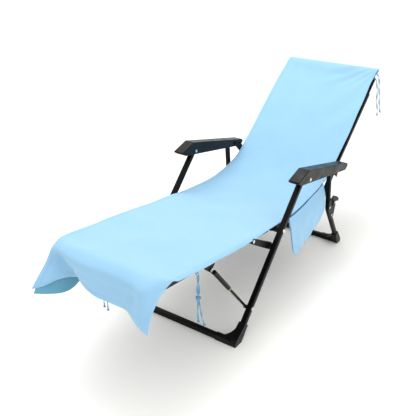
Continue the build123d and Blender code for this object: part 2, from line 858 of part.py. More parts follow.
SEAT_SLING_LINE = [
    (346.0, 374.0),
    (430.0, 353.0),
    (560.0, 330.0),
    (700.0, 322.0),
    (820.0, 340.0),
    (920.0, 382.0),
    (992.0, 427.0),
]
SEAT_TOWEL_LINE = [
    (330.0, 391.0),
    (408.0, 372.0),
    (522.0, 358.0),
    (616.0, 351.0),
    (700.0, 351.0),
    (811.0, 363.0),
    (905.0, 398.0),
    (960.0, 431.0),
]
DROP_LINE = [(-402.0, 487.0), (-428.0, 462.0), (-458.0, 414.0), (-492.0, 346.0)]
FLAP_OUTLINE = [
    (440.0, 366.0),
    (470.0, 294.0),
    (519.0, 184.0),
    (539.0, 154.0),
    (581.0, 176.0),
    (632.0, 178.0),
    (712.0, 210.0),
    (792.0, 250.0),
    (828.0, 246.0),
    (822.0, 349.0),
    (790.0, 418.0),
    (700.0, 352.0),
    (560.0, 350.0),
]
BACK_TOWEL_RISE = 24.0
LEG_TOWEL_RISE = 19.0


def raised(start, angle, distance, rise):
    """A (Y, Z) point along a sloping line, lifted square to it on its upper side."""
    point = along(start, angle, distance)
    square = angle + 90.0 if abs(angle) < 90.0 else angle - 90.0
    return along(point, square, rise)


def shifted(points, amount):
    """Points moved square to the line that they form, to its left when amount is positive."""
    moved = []
    for index, point in enumerate(points):
        before = points[max(index - 1, 0)]
        after = points[min(index + 1, len(points) - 1)]
        moved.append(along(point, direction(before, after) + 90.0, amount))
    return moved


def sheet(points, thick, half_width):
    """A sheet across the width whose middle surface runs through (Y, Z) points."""
    upper = shifted(points, thick / 2)
    lower = shifted(points, -thick / 2)
    with BuildPart() as cloth:
        with BuildSketch(side_plane(-half_width)):
            with BuildLine():
                for face_line in (upper, lower):
                    if len(points) > 2:
                        Spline(*face_line)
                    else:
                        Line(*face_line)
                Line(upper[0], lower[0])
                Line(upper[-1], lower[-1])
            make_face()
        extrude(amount=2 * half_width)
    return cloth


def back_sling():
    start = along(ARM_REAR_PIVOT, BACK_SLOPE, 40.0)
    stop = along(ARM_REAR_PIVOT, BACK_SLOPE, HEAD_TUBE_LENGTH - 24.0)
    return sheet([start, stop], SLING_THICK, SLING_HALF)


def leg_sling():
    stop = along(LEG_REST_FRONT, LEG_REST_SLOPE + 180.0, 36.0)
    return sheet([LEG_REST_REAR, stop], SLING_THICK, LEG_SLING_HALF)


def towel_back():
    start = raised(ARM_REAR_PIVOT, BACK_SLOPE, 20.0, BACK_TOWEL_RISE)
    stop = raised(ARM_REAR_PIVOT, BACK_SLOPE, HEAD_TUBE_LENGTH + 14.0, BACK_TOWEL_RISE)
    return sheet([start, stop], TOWEL_THICK, TOWEL_HALF)


def towel_leg():
    start = raised(LEG_REST_REAR, LEG_REST_SLOPE, 12.0, LEG_TOWEL_RISE)
    stop = raised(LEG_REST_FRONT, LEG_REST_SLOPE, 8.0, LEG_TOWEL_RISE)
    return sheet([start, stop], TOWEL_THICK, TOWEL_HALF)


def pocket_flap(side):
    """Side pocket of the towel, hanging beside the seat."""
    return side_plate(FLAP_OUTLINE, FLAP_X, FLAP_X + FLAP_THICK, side)


# ---------------------------------------------------------------- tie strings

TOP_TIES = {
    "a": [
        (250.0, 1424.0, 807.0),
        (262.0, 1430.0, 796.0),
        (267.0, 1444.0, 768.0),
        (265.0, 1462.0, 722.0),
        (268.0, 1478.0, 672.0),
        (265.0, 1500.0, 622.0),
        (268.0, 1516.0, 576.0),
    ],
    "b": [
        (250.0, 1402.0, 789.0),
        (262.0, 1407.0, 778.0),
        (266.0, 1417.0, 748.0),
        (269.0, 1428.0, 700.0),
        (265.0, 1446.0, 652.0),
        (268.0, 1462.0, 606.0),
        (264.0, 1484.0, 566.0),
    ],
}
MID_TIES = {
    "left": {
        "a": [
            (250.0, -205.0, 461.0),
            (263.0, -206.0, 450.0),
            (265.0, -203.0, 424.0),
            (262.0, -207.0, 378.0),
            (265.0, -203.0, 334.0),
            (262.0, -199.0, 288.0),
            (264.0, -195.0, 242.0),
        ],
        "b": [
            (250.0, -193.0, 460.0),
            (263.0, -192.0, 449.0),
            (261.0, -196.0, 422.0),
            (265.0, -193.0, 374.0),
            (262.0, -195.0, 330.0),
            (265.0, -184.0, 288.0),
            (262.0, -172.0, 244.0),
            (265.0, -160.0, 204.0),
        ],
    },
    "right": {
        "a": [
            (250.0, -205.0, 461.0),
            (263.0, -206.0, 450.0),
            (265.0, -203.0, 424.0),
            (250.0, -205.0, 400.0),
            (224.0, -203.0, 378.0),
            (209.0, -201.0, 322.0),
            (205.0, -203.0, 262.0),
            (203.0, -204.0, 196.0),
            (200.0, -205.0, 122.0),
        ],
        "b": [
            (250.0, -190.0, 460.0),
            (263.0, -189.0, 449.0),
            (261.0, -192.0, 422.0),
            (246.0, -190.0, 396.0),
            (219.0, -188.0, 373.0),
            (204.0, -187.0, 312.0),
            (202.0, -188.0, 250.0),
            (199.0, -187.0, 176.0),
            (200.0, -186.0, 94.0),
        ],
    },
}
ARC_SHARE = 0.45


def corner_radii(points):
    """The largest arc that each corner's shorter run allows."""
    radii = []
    for before, corner, after in zip(points, points[1:], points[2:]):
        arrive = Vector(*corner) - Vector(*before)
        leave = Vector(*after) - Vector(*corner)
        half_turn = radians(arrive.get_angle(leave) / 2)
        radii.append(ARC_SHARE * min(arrive.length, leave.length) / tan(half_turn))
    return radii


def tie_string(points, side):
    """A limp string that hangs from the towel's edge, as straight runs joined by arcs."""
    route = [(side * x, y, z) for x, y, z in points]
    radii = corner_radii(route)
    with BuildPart() as string:
        with BuildLine() as path:
            FilletPolyline(*route, radius=radii)
        with BuildSketch(Plane(origin=path.line @ 0, z_dir=path.line % 0)):
            Circle(STRING_RADIUS)
        sweep(path=path.line)
    length = sum(edge.length for edge in path.line.edges())
    ratio = string.part.volume / (pi * STRING_RADIUS**2 * length)
    print("string", round(length), "mm, volume ratio", round(ratio, 4), "radii", [round(radius) for radius in radii])
    return string


# ---------------------------------------------------------------- build

os.makedirs("parts", exist_ok=True)

for name, side in SIDES.items():
    save(front_leg(side), f"front_leg_{name}")
    save(seat_rail(side), f"seat_rail_{name}")
    save(back_rail(side), f"back_rail_{name}")
    save(leg_rest_rail(side), f"leg_rest_rail_{name}")
    save(strut_sleeve(side), f"strut_sleeve_{name}")
    save(strut_bush(side), f"strut_bush_{name}")
    save(strut_rod(side), f"strut_rod_{name}")
    save(armrest(side), f"armrest_{name}")
    save(arm_rear_bracket(side), f"armrest_bracket_{name}")
    save(rear_leg(side), f"rear_leg_{name}")
    save(latch_lever(side), f"latch_lever_{name}")
    save(pocket_flap(side), f"pocket_flap_{name}")
    for strand in ("a", "b"):
        save(tie_string(TOP_TIES[strand], side), f"top_tie_{name}_{strand}")
        save(tie_string(MID_TIES[name][strand], side), f"mid_tie_{name}_{strand}")

both = list(SIDES.values())
save(cross_bar(FRONT_BAR, BAR_HALF, BAR_DEPTH, BAR_HEIGHT), "front_floor_bar")
save(cross_bar(REAR_BASE, BAR_HALF, BAR_DEPTH, BAR_HEIGHT), "rear_floor_bar")
save(seat_cross_tube(), "seat_cross_tube")
save(head_tube(), "head_tube")
save(leg_rest_end_bar(), "leg_rest_end_bar")
save(back_sling(), "back_sling")
save(sheet(SEAT_SLING_LINE, SLING_THICK, SLING_HALF), "seat_sling")
save(leg_sling(), "leg_rest_sling")
save(towel_back(), "towel_back")
save(sheet(SEAT_TOWEL_LINE, TOWEL_THICK, TOWEL_HALF), "towel_seat")
save(towel_leg(), "towel_leg_rest")
save(sheet(DROP_LINE, TOWEL_THICK, TOWEL_HALF), "towel_front_drop")
save_group([front_shoe(side) for side in both], "front_shoes")
save_group([rear_shoe(side) for side in both], "rear_shoes")
save_group([leg_cap(side) for side in both], "front_leg_caps")
save_group(leg_spacers(), "leg_spacers")
save_group([seat_pivot_rivet(side) for side in both], "seat_pivot_rivets")
save_group([arm_pivot_rivet(side) for side in both], "armrest_pivot_rivets")
save_group([hub_rivet(side) for side in both], "link_hub_rivets")
save_group([strut_anchor_rivet(side) for side in both], "strut_anchor_rivets")
save_group(hinge_plates(), "back_hinge_plates")
save_group([back_pin(side) for side in both], "back_hinge_pins")
save_group([arm_rear_stub(side) for side in both], "armrest_stub_pins")
save_group([link_plate(side) for side in both], "link_plates")
save_group([make(side) for side in both for make in (link_bracket, strut_clip)], "leg_rest_brackets")
save_group([make(side) for side in both for make in (link_rivet, clip_rivet)], "leg_rest_rivets")
save_group([latch_bracket(side) for side in both], "latch_brackets")
rear_rivets = [make(side) for side in both for make in (hang_rivet, lever_rivet)]
rear_rivets += [rivet for side in both for rivet in bracket_rivets(side)]
save_group(rear_rivets, "rear_leg_rivets")
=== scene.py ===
import json
from math import cos, pi, radians, sin

import bpy
import numpy as np
from mathutils import Matrix, Vector


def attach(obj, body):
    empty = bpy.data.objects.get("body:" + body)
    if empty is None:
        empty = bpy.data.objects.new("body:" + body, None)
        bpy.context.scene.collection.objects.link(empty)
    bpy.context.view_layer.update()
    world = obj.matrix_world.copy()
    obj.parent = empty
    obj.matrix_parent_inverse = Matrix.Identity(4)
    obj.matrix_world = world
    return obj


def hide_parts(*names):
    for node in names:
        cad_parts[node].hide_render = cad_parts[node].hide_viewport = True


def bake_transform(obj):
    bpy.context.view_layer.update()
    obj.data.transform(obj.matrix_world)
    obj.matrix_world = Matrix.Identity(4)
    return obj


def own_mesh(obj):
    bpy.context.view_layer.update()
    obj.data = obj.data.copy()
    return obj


# Folding recliner lounger with a fitted towel cover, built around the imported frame.
# Metres, +X towards the sitter's left, +Y towards the head end, +Z up, the floor at Z 0.
# Lists of points are in millimetres, and mm() turns them into metres.

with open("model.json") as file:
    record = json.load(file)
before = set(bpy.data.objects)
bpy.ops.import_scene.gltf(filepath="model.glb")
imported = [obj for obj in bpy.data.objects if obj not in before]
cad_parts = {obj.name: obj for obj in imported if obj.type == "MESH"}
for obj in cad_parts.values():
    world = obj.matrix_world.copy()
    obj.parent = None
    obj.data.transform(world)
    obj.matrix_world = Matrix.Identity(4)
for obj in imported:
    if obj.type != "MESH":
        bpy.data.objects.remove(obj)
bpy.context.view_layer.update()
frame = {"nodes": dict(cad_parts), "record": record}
SIDES = {"left": 1, "right": -1}


def mm(*point):
    """A point given in millimetres, in metres."""
    return Vector(point) / 1000


# ---------------------------------------------------------------- camera, light and floor

CAMERA_PLACE = (1.2748, -1.6620, 1.5702)
CAMERA_LOOK = Vector((-0.50004, 0.74337, -0.44424))
CAMERA_ROLL = 0.31
CAMERA_LENS = 52.56
CAMERA_SENSOR = 36
WORLD_STRENGTH = 1.12
FLOOR_HALF = 14.0
# Soft square lights: place, aim, size and power
AREA_LIGHTS = {
    "key_light": ((-1.0, 1.0, 3.4), (0.0, 0.3, 0.3), 2.2, 62),
    "side_light": ((3.2, -0.6, 1.8), (0.2, 0.3, 0.3), 1.8, 18),
}


def add_camera():
    """The camera at the view's height and distance, turned a little about its own axis."""
    right = CAMERA_LOOK.cross(Vector((0, 0, 1))).normalized()
    up = right.cross(CAMERA_LOOK).normalized()
    roll = radians(CAMERA_ROLL)
    side = right * cos(roll) + up * sin(roll)
    top = up * cos(roll) - right * sin(roll)
    turn = Matrix((side, top, -CAMERA_LOOK.normalized())).transposed()
    lens = bpy.data.cameras.new("camera")
    lens.lens = CAMERA_LENS
    lens.sensor_width = CAMERA_SENSOR
    camera = bpy.data.objects.new("camera", lens)
    camera.matrix_world = Matrix.Translation(CAMERA_PLACE) @ turn.to_4x4()
    bpy.context.scene.collection.objects.link(camera)
    bpy.context.scene.camera = camera


def add_area_light(name):
    """One of the soft square lights, aimed at its target."""
    place, target, size, power = AREA_LIGHTS[name]
    lamp = bpy.data.lights.new(name, "AREA")
    lamp.size = size
    lamp.energy = power
    light = bpy.data.objects.new(name, lamp)
    light.location = place
    aim = Vector(target) - Vector(place)
    light.rotation_euler = aim.to_track_quat("-Z", "Y").to_euler()
    bpy.context.scene.collection.objects.link(light)


def add_world():
    """Even white light from all round."""
    world = bpy.data.worlds.new("studio")
    bpy.context.scene.world = world
    world.use_nodes = True
    background = world.node_tree.nodes["Background"]
    background.inputs["Color"].default_value = (1.0, 1.0, 1.0, 1.0)
    background.inputs["Strength"].default_value = WORLD_STRENGTH


def add_floor(material):
    signs = [(-1, -1), (1, -1), (1, 1), (-1, 1)]
    corners = [(x * FLOOR_HALF, y * FLOOR_HALF, 0) for x, y in signs]
    floor = new_mesh("floor", corners, [(0, 1, 2, 3)], material)


# ---------------------------------------------------------------- materials


RANGE_SOCKETS = ("From Min", "From Max", "To Min", "To Max")
# Colour sockets of a Mix node by their place, because their names repeat
MIX_FIRST, MIX_SECOND, MIX_RESULT = 6, 7, 2


class Shader:
    """A node material that is built up from its Principled shader."""

    def __init__(self, name, colour, roughness, metallic=0.0):
        self.material = bpy.data.materials.new(name)
        self.material.use_nodes = True
        self.tree = self.material.node_tree
        self.shader = self.tree.nodes["Principled BSDF"]
        self.colour = colour
        self.set("Base Color", (*colour, 1.0))
        self.set("Roughness", roughness)
        self.set("Metallic", metallic)
        self.place = self.tree.nodes.new("ShaderNodeTexCoord").outputs["Object"]
        self.bump = None

    def set(self, socket, value):
        self.shader.inputs[socket].default_value = value

    def node(self, kind, **inputs):
        made = self.tree.nodes.new(kind)
        for socket, value in inputs.items():
            made.inputs[socket.replace("_", " ")].default_value = value
        return made

    def link(self, start, end):
        self.tree.links.new(start, end)

    def stretched(self, scale, turn=(0.0, 0.0, 0.0)):
        """The object's own coordinates, turned and stretched."""
        mapping = self.node("ShaderNodeMapping")
        mapping.inputs["Scale"].default_value = scale
        mapping.inputs["Rotation"].default_value = turn
        self.link(self.place, mapping.inputs["Vector"])
        return mapping.outputs["Vector"]

    def noise(self, scale, detail=3.0, roughness=0.5, source=None):
        made = self.node("ShaderNodeTexNoise", Scale=scale, Detail=detail, Roughness=roughness)
        self.link(source or self.place, made.inputs["Vector"])
        return made.outputs["Fac"]

    def cells(self, scale):
        made = self.node("ShaderNodeTexVoronoi", Scale=scale)
        self.link(self.place, made.inputs["Vector"])
        return made.outputs["Distance"]

    def wave(self, scale, distortion=0.0, source=None, direction="X"):
        made = self.node("ShaderNodeTexWave", Scale=scale, Distortion=distortion)
        made.bands_direction = direction
        self.link(source or self.place, made.inputs["Vector"])
        return made.outputs["Fac"]

    def ramp(self, source, low, high, start=0.35, end=0.65):
        """Colours or values from low to high as the source rises from start to end."""
        made = self.node("ShaderNodeMapRange")
        for socket, value in zip(RANGE_SOCKETS, (start, end, low, high)):
            made.inputs[socket].default_value = value
        self.link(source, made.inputs["Value"])
        return made.outputs["Result"]

    def product(self, first, second):
        made = self.node("ShaderNodeMath")
        made.operation = "MULTIPLY"
        self.link(first, made.inputs[0])
        self.link(second, made.inputs[1])
        return made.outputs["Value"]

    def tint(self, source, colour):
        """Mixes another colour into the base colour where the source is high."""
        made = self.node("ShaderNodeMix")
        made.data_type = "RGBA"
        base = self.shader.inputs["Base Color"]
        if base.links:
            self.link(base.links[0].from_socket, made.inputs[MIX_FIRST])
        else:
            made.inputs[MIX_FIRST].default_value = (*self.colour, 1.0)
        made.inputs[MIX_SECOND].default_value = (*colour, 1.0)
        self.link(source, made.inputs["Factor"])
        self.link(made.outputs[MIX_RESULT], base)

    def rough(self, source, low, high, start=0.3, end=0.7):
        self.link(self.ramp(source, low, high, start, end), self.shader.inputs["Roughness"])

    def raise_by(self, source, height, strength=1.0):
        """Adds a bump; heights are in metres."""
        made = self.node("ShaderNodeBump", Strength=strength, Distance=height)
        self.link(source, made.inputs["Height"])
        if self.bump:
            self.link(self.bump, made.inputs["Normal"])
        self.bump = made.outputs["Normal"]
        self.link(self.bump, self.shader.inputs["Normal"])


def dusty(colour):
    """A dark colour with a little dust on it."""
    return [channel * 1.8 + 0.002 for channel in colour]


def coated_metal(name, colour, roughness, coat):
    """Powder-coated steel: fine orange peel, dust in its gloss and a few lighter rubs."""
    look = Shader(name, colour, roughness)
    look.set("Coat Weight", coat)
    look.set("Coat Roughness", 0.16)
    look.set("Specular IOR Level", 0.10)
    look.rough(look.noise(38, 5), roughness - 0.07, roughness + 0.12)
    look.tint(look.ramp(look.noise(9, 4), 0.0, 0.35, 0.55, 0.8), dusty(colour))
    scratch = look.noise(60, 2, source=look.stretched((1.0, 0.06, 1.0), (0.8, 0.0, 0.3)))
    look.tint(look.ramp(scratch, 0.0, 0.4, 0.72, 0.78), (0.05, 0.05, 0.055))
    look.raise_by(look.noise(900, 2), 0.00012, 0.5)
    return look.material


def plain_metal(name, colour, roughness):
    """Turned or zinc-plated metal with fine tool marks and darker spots."""
    look = Shader(name, colour, roughness, 1.0)
    look.rough(look.noise(160, 4), roughness - 0.08, roughness + 0.14)
    look.tint(look.ramp(look.noise(120, 3), 0.0, 0.4, 0.5, 0.75), [c * 0.6 for c in colour])
    look.raise_by(look.noise(1400, 2), 0.00006, 0.5)
    return look.material


def moulded_plastic(name, colour, roughness, grain):
    """Moulded plastic with a fine leather grain and dulled patches."""
    look = Shader(name, colour, roughness)
    look.set("Specular IOR Level", 0.17)
    look.rough(look.noise(24, 5), roughness - 0.06, roughness + 0.14)
    look.tint(look.ramp(look.noise(14, 4), 0.0, 0.5, 0.5, 0.8), dusty(colour))
    look.raise_by(look.cells(grain), 0.00010, 0.35)
    look.raise_by(look.noise(grain * 1.6, 3), 0.00008, 0.4)
    return look.material


def terry(name, colour, deep, sheen):
    """Microfibre terry: short loops in rows, a soft nap that lies in patches, and a sheen."""
    look = Shader(name, colour, 0.85)
    look.set("Specular IOR Level", 0.2)
    look.set("Sheen Weight", sheen)
    look.set("Sheen Roughness", 0.45)
    look.set("Sheen Tint", (0.85, 0.96, 1.0, 1.0))
    loops = look.cells(520)
    look.tint(look.ramp(loops, 0.0, 0.30, 0.25, 0.7), deep)
    look.tint(look.ramp(look.noise(7, 5, 0.6), 0.0, 0.22, 0.42, 0.75), deep)
    look.rough(look.noise(80, 3), 0.78, 0.95)
    look.raise_by(look.noise(26, 4), 0.0009, 0.35)
    look.raise_by(loops, 0.0007, 0.45)
    look.raise_by(look.noise(900, 2), 0.0004, 0.35)
    return look.material


def woven(name, colour, pitch, thread):
    """Coarse sling mesh: two crossing sets of threads with small gaps between."""
    look = Shader(name, colour, 0.6)
    look.set("Sheen Weight", 0.15)
    weave = look.product(look.wave(pitch), look.wave(pitch, direction="Y"))
    look.tint(look.ramp(weave, 0.0, 0.8, 0.1, 0.7), thread)
    look.rough(look.noise(60, 3), 0.5, 0.75)
    look.raise_by(weave, 0.0008, 0.6)
    look.raise_by(look.noise(700, 2), 0.0002, 0.4)
    return look.material


def twisted(name, colour, deep):
    """String of twisted yarn: slanting ribs with grooves darkened as painted shade, and loose fibres.
    """
    look = Shader(name, colour, 0.8)
    look.set("Sheen Weight", 0.3)
    ribs = look.wave(95, 0.4, look.stretched((1.0, 1.0, 1.0), (0.6, 0.0, 0.4)), "Z")
    # Painted shade in the grooves between the ribs
    look.tint(look.ramp(ribs, 0.7, 0.0, 0.1, 0.6), deep)
    look.rough(look.noise(200, 3), 0.7, 0.9)
    look.raise_by(ribs, 0.0006, 0.8)
    look.raise_by(look.noise(1200, 2), 0.0003, 0.4)
    return look.material


def floor_paint():
    """Plain pale studio floor, barely mottled."""
    look = Shader("floor_paint", (0.94, 0.935, 0.905), 0.7)
    look.tint(look.ramp(look.noise(0.8, 4), 0.0, 0.4), (0.96, 0.955, 0.925))
    look.rough(look.noise(3, 4), 0.6, 0.8)
    look.raise_by(look.noise(400, 2), 0.0001, 0.2)
    return look.material


# Linear colours of the object's materials
TOWEL_BLUE = (0.300, 0.520, 0.705)
TOWEL_DEEP = (0.19, 0.42, 0.64)
# Darker blues of the turned corner's inner side: painted shade under the front drop's hem
SHADED_INSIDE_BLUE = (0.14, 0.35, 0.47)
SHADED_INSIDE_DEEP = (0.06, 0.20, 0.30)
# Much darker blues of the pocket's inner layer: painted shade where it hangs sheltered behind the outer
# layer
POCKET_SHADE_BLUE = (0.05, 0.20, 0.42)
POCKET_SHADE_DEEP = (0.02, 0.09, 0.24)

looks = {
    "frame_coat": coated_metal("frame_coat", (0.0016, 0.0017, 0.0019), 0.32, 0.05),
    "bracket_coat": coated_metal("bracket_coat", (0.002, 0.002, 0.002), 0.38, 0.03),
    "strut_coat": coated_metal("strut_coat", (0.005, 0.0048, 0.0042), 0.36, 0.05),
    "rivet_steel": plain_metal("rivet_steel", (0.70, 0.71, 0.73), 0.24),
    "brass_bush": plain_metal("brass_bush", (0.72, 0.50, 0.20), 0.28),
    "black_plastic": moulded_plastic("black_plastic", (0.0022, 0.0022, 0.0020), 0.33, 420),
    "lever_plastic": moulded_plastic("lever_plastic", (0.003, 0.003, 0.003), 0.42, 520),
    "spacer_plastic": moulded_plastic("spacer_plastic", (0.005, 0.005, 0.005), 0.50, 520),
    "sling_mesh": woven("sling_mesh", (0.010, 0.011, 0.013), 95, (0.045, 0.047, 0.052)),
    "towel_cloth": terry("towel_cloth", TOWEL_BLUE, TOWEL_DEEP, 0.35),
    # Painted shade: the turned corner's inner side in a darker blue
    "towel_inside_shade": terry("towel_inside_shade", SHADED_INSIDE_BLUE, SHADED_INSIDE_DEEP, 0.15),
    # Painted shade: the pocket's inner layer in a much darker blue
    "pocket_lining_shade": terry("pocket_lining_shade", POCKET_SHADE_BLUE, POCKET_SHADE_DEEP, 0.05),
    # The tie string's blue is set darker than the towel's as painted shade of its shaded side
    "tie_string": twisted("tie_string", (0.13, 0.37, 0.55), (0.02, 0.11, 0.22)),
    "hem_thread": twisted("hem_thread", (0.42, 0.68, 0.80), (0.22, 0.48, 0.66)),
}


# ---------------------------------------------------------------- meshes


def new_mesh(name, points, faces, material, smooth=False):
    mesh = bpy.data.meshes.new(name)
    mesh.from_pydata([tuple(point) for point in points], [], faces)
    mesh.materials.append(material)
    mesh.polygons.foreach_set("use_smooth", [smooth] * len(mesh.polygons))
    mesh.update()
    made = bpy.data.objects.new(name, mesh)
    bpy.context.scene.collection.objects.link(made)
    return made


def hermite(knots, values, at):
    """A smooth curve through values at rising knots, evaluated at other places along them."""
    knots = np.asarray(knots, float)
    values = np.asarray(values, float)
    steps = np.diff(knots)
    slopes = np.diff(values, axis=0) / steps.reshape(-1, *[1] * (values.ndim - 1))
    tangents = np.empty_like(values)
    tangents[0] = slopes[0]
    tangents[-1] = slopes[-1]
    for index in range(1, len(knots) - 1):
        before, after = steps[index - 1], steps[index]
        tangents[index] = (slopes[index - 1] * after + slopes[index] * before) / (before + after)
    at = np.clip(at, knots[0], knots[-1])
    span = np.clip(np.searchsorted(knots, at, side="right") - 1, 0, len(knots) - 2)
    step = steps[span]
    t = ((at - knots[span]) / step).reshape(-1, *[1] * (values.ndim - 1))
    step = step.reshape(t.shape)
    start, end = values[span], values[span + 1]
    return (
        start * (2 * t**3 - 3 * t**2 + 1)
        + tangents[span] * step * (t**3 - 2 * t**2 + t)
        + end * (3 * t**2 - 2 * t**3)
        + tangents[span + 1] * step * (t**3 - t**2)
    )


def smooth_step(value, start, end):
    t = np.clip((value - start) / (end - start), 0, 1)
    return t * t * (3 - 2 * t)


def normals_of(grid):
    """Unit normals of a grid of points, rows by columns by three."""
    along = np.gradient(grid, axis=0)
    across = np.gradient(grid, axis=1)
    normal = np.cross(across, along)
    return normal / np.maximum(np.linalg.norm(normal, axis=2, keepdims=True), 1e-12)


def shell(name, upper, lower, material):
    """A thin closed piece of cloth between two grids of points, with crisp rims."""
    rows, columns = upper.shape[:2]
    points = np.concatenate([upper.reshape(-1, 3), lower.reshape(-1, 3)])
    below = rows * columns
    faces = []
    for row in range(rows - 1):
        for column in range(columns - 1):
            corner = row * columns + column
            ring = (corner, corner + 1, corner + columns + 1, corner + columns)
            faces.append(ring)
            faces.append(tuple(below + index for index in reversed(ring)))
    rim = list(range(columns))
    rim += [row * columns + columns - 1 for row in range(1, rows)]
    rim += [(rows - 1) * columns + column for column in range(columns - 2, -1, -1)]
    rim += [row * columns for row in range(rows - 2, 0, -1)]
    for start, end in zip(rim, rim[1:] + rim[:1]):
        faces.append((end, start, below + start, below + end))
    made = new_mesh(name, points, faces, material, smooth=True)
    edge_set = {frozenset(pair) for pair in zip(rim, rim[1:] + rim[:1])}
    edge_set |= {frozenset(below + index for index in pair) for pair in edge_set}
    for edge in made.data.edges:
        edge.use_edge_sharp = frozenset(edge.vertices) in edge_set
    return made


def cloth_of(name, grid, offset, look):
    """A piece of cloth round its middle surface, given in millimetres."""
    return shell(name, (grid + offset) / 1000, (grid - offset) / 1000, looks[look])


STITCH_LENGTH = 0.0032
STITCH_GAP = 0.0014
STITCH_WIDTH = 0.0009
STITCH_SPOKES = 6
# The share of its width that the middle of a stitch stands above the cloth
STITCH_RISE = 0.15
# Rings of one stitch: share of its length, and share of its width
STITCH_RINGS = [(0.0, 0.3), (0.25, 1.0), (0.75, 1.0), (1.0, 0.3)]


def point_at(reach, line, place):
    """The value of a line of vectors at a distance along it."""
    return np.array([np.interp(place, reach, line[:, axis]) for axis in range(3)])


def thread_dashes(name, line, normals, material):
    """Stitches along a line of points: small capsules that stand on the cloth."""
    line = np.asarray(line)
    steps = np.linalg.norm(np.diff(line, axis=0), axis=1)
    reach = np.concatenate([[0.0], np.cumsum(steps)])
    pitch = STITCH_LENGTH + STITCH_GAP
    points, faces = [], []
    for place in np.arange(STITCH_GAP, reach[-1] - STITCH_LENGTH, pitch):
        start = point_at(reach, line, place)
        run = point_at(reach, line, place + STITCH_LENGTH) - start
        run /= np.linalg.norm(run)
        up = point_at(reach, normals, place)
        side = np.cross(run, up)
        side /= np.linalg.norm(side)
        base = len(points)
        for share, size in STITCH_RINGS:
            centre = start + run * share * STITCH_LENGTH + up * STITCH_WIDTH * STITCH_RISE
            for spoke in range(STITCH_SPOKES):
                turn = 2 * pi * spoke / STITCH_SPOKES
                arm = side * cos(turn) + up * sin(turn)
                points.append(centre + arm * STITCH_WIDTH / 2 * size)
        for ring in range(len(STITCH_RINGS) - 1):
            for spoke in range(STITCH_SPOKES):
                a = base + ring * STITCH_SPOKES + spoke
                b = base + ring * STITCH_SPOKES + (spoke + 1) % STITCH_SPOKES
                faces.append((a, b, b + STITCH_SPOKES, a + STITCH_SPOKES))
        last = base + (len(STITCH_RINGS) - 1) * STITCH_SPOKES
        faces.append(tuple(base + spoke for spoke in reversed(range(STITCH_SPOKES))))
        faces.append(tuple(last + spoke for spoke in range(STITCH_SPOKES)))
    return new_mesh(name, points, faces, material, smooth=True)


# ---------------------------------------------------------------- towel cover

TOWEL_HALF = 260.0
TOWEL_THICK = 4.0
HEM_WIDTH = 15.0
HEM_EXTRA = 1.6
# Extra columns and rows of points at the hems, by their distance from the edge
HEM_STEPS = np.array([0.0, 1.2, 3.5, HEM_WIDTH - 2.0, HEM_WIDTH, HEM_WIDTH + 1.5])
# The stitches run along this column, counted from the edge
SEAM_STEP = 4
# The share of half the width at which an edge starts to drop or to rise
DROP_START = 0.955
RISE_START = 0.4
# Depths of the cover's sag and wrinkles
SAG_DEPTH = 6.0
SLANT_FOLD = 2.0
HOOD_FOLD = 2.4
LONG_WAVE = 1.3
SHORT_WAVE = 0.8
TIE_PUCKER = 2.2
DROP_WAVE = 1.6
# Rows, counted in TOWEL_ROWS, where the leg-rest ties pull and where the cloth is parted for the joints
MID_TIE_ROW = 20
SEAT_CUT_ROW = 14
KNEE_CUT_ROW = 16.5
# Where the cloth starts and ends its bend at each joint
BACK_BEND = (mm(0, 950, 430), mm(0, 720, 340))
SEAT_BEND = (mm(0, 520, 352), mm(0, 380, 366))
LEG_BEND = (mm(0, 352, 372), mm(0, 240, 395))

# The cover's lengthwise rows, from behind the head tube down to the foot end: Y and Z of the middle,
# X of the far and the near edge, and how far each edge stands above (+) or hangs below (-) the middle
TOWEL_ROWS = [
    (1345, 702, -226, 222, 0, 0),
    (1404, 748, -230, 228, 0, 0),
    (1452, 782, -236, 236, 0, 0),
    (1463, 797, -243, 243, 0, 0),
    (1458, 812, -249, 249, 0, 0),
    (1437, 820, -253, 252, 0, 0),
    (1379, 775, -262, 245, 0, -2),
    (1250, 667, -267, 247, 8, -1),
    (1110, 551, -267, 248, 11, 2),
    (1010, 469, -266, 248, 16, 10),
    (949, 422, -264, 251, 20, 20),
    (894, 392, -264, 256, 14, 24),
    (800, 367, -266, 259, 8, 27),
    (689, 358, -266, 260, 3, 24),
    (605, 358, -266, 260, 3, 16),
    (511, 364, -266, 260, 4, 8),
    (397, 376, -266, 261, 3, 0),
    (313, 389, -266, 262, 5, -2),
    (180, 407, -266, 264, 4, -8),
    (0, 433, -266, 264, 5, -12),
    (-180, 458, -266, 264, 3, -9),
    (-320, 478, -262, 261, 2, -7),
]
